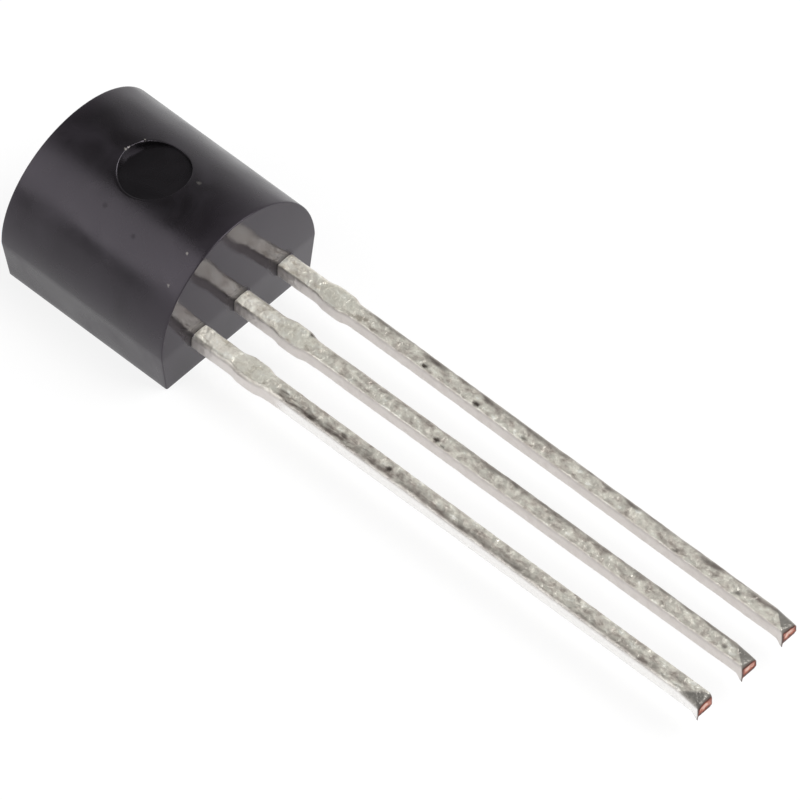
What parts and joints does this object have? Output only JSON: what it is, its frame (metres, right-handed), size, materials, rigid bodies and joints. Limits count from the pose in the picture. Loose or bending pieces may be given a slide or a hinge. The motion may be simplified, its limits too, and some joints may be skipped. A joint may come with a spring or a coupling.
{
  "type": "temperature sensor",
  "caption": "Small black moulded sensor with a flat side, a rounded side and flat tinned leads in one row, for soldering into a circuit board.",
  "frame": {"origin": "centre of the housing's flat side", "axes": "+X along the leads towards their tips, +Y across the leads towards the ground lead, +Z from the flat side up to the rounded side"},
  "size_m": [0.0186, 0.0046, 0.0034],
  "materials": {
    "epoxy_compound": "black moulded epoxy, semi-gloss",
    "tinned_copper": "satin tin over stamped copper alloy, bare copper on the cut tips",
    "silicon": "polished silicon",
    "silver_epoxy": "silver-filled adhesive",
    "gold_wire": "drawn gold"
  },
  "bodies": {
    "root": {"housing": "epoxy_compound", "ground_lead": "tinned_copper", "signal_lead": "tinned_copper", "supply_lead": "tinned_copper", "sensor_die": "silicon", "die_attach": "silver_epoxy", "ground_wire": "gold_wire", "signal_wire": "gold_wire", "supply_wire": "gold_wire"}
  },
  "joints": []
}
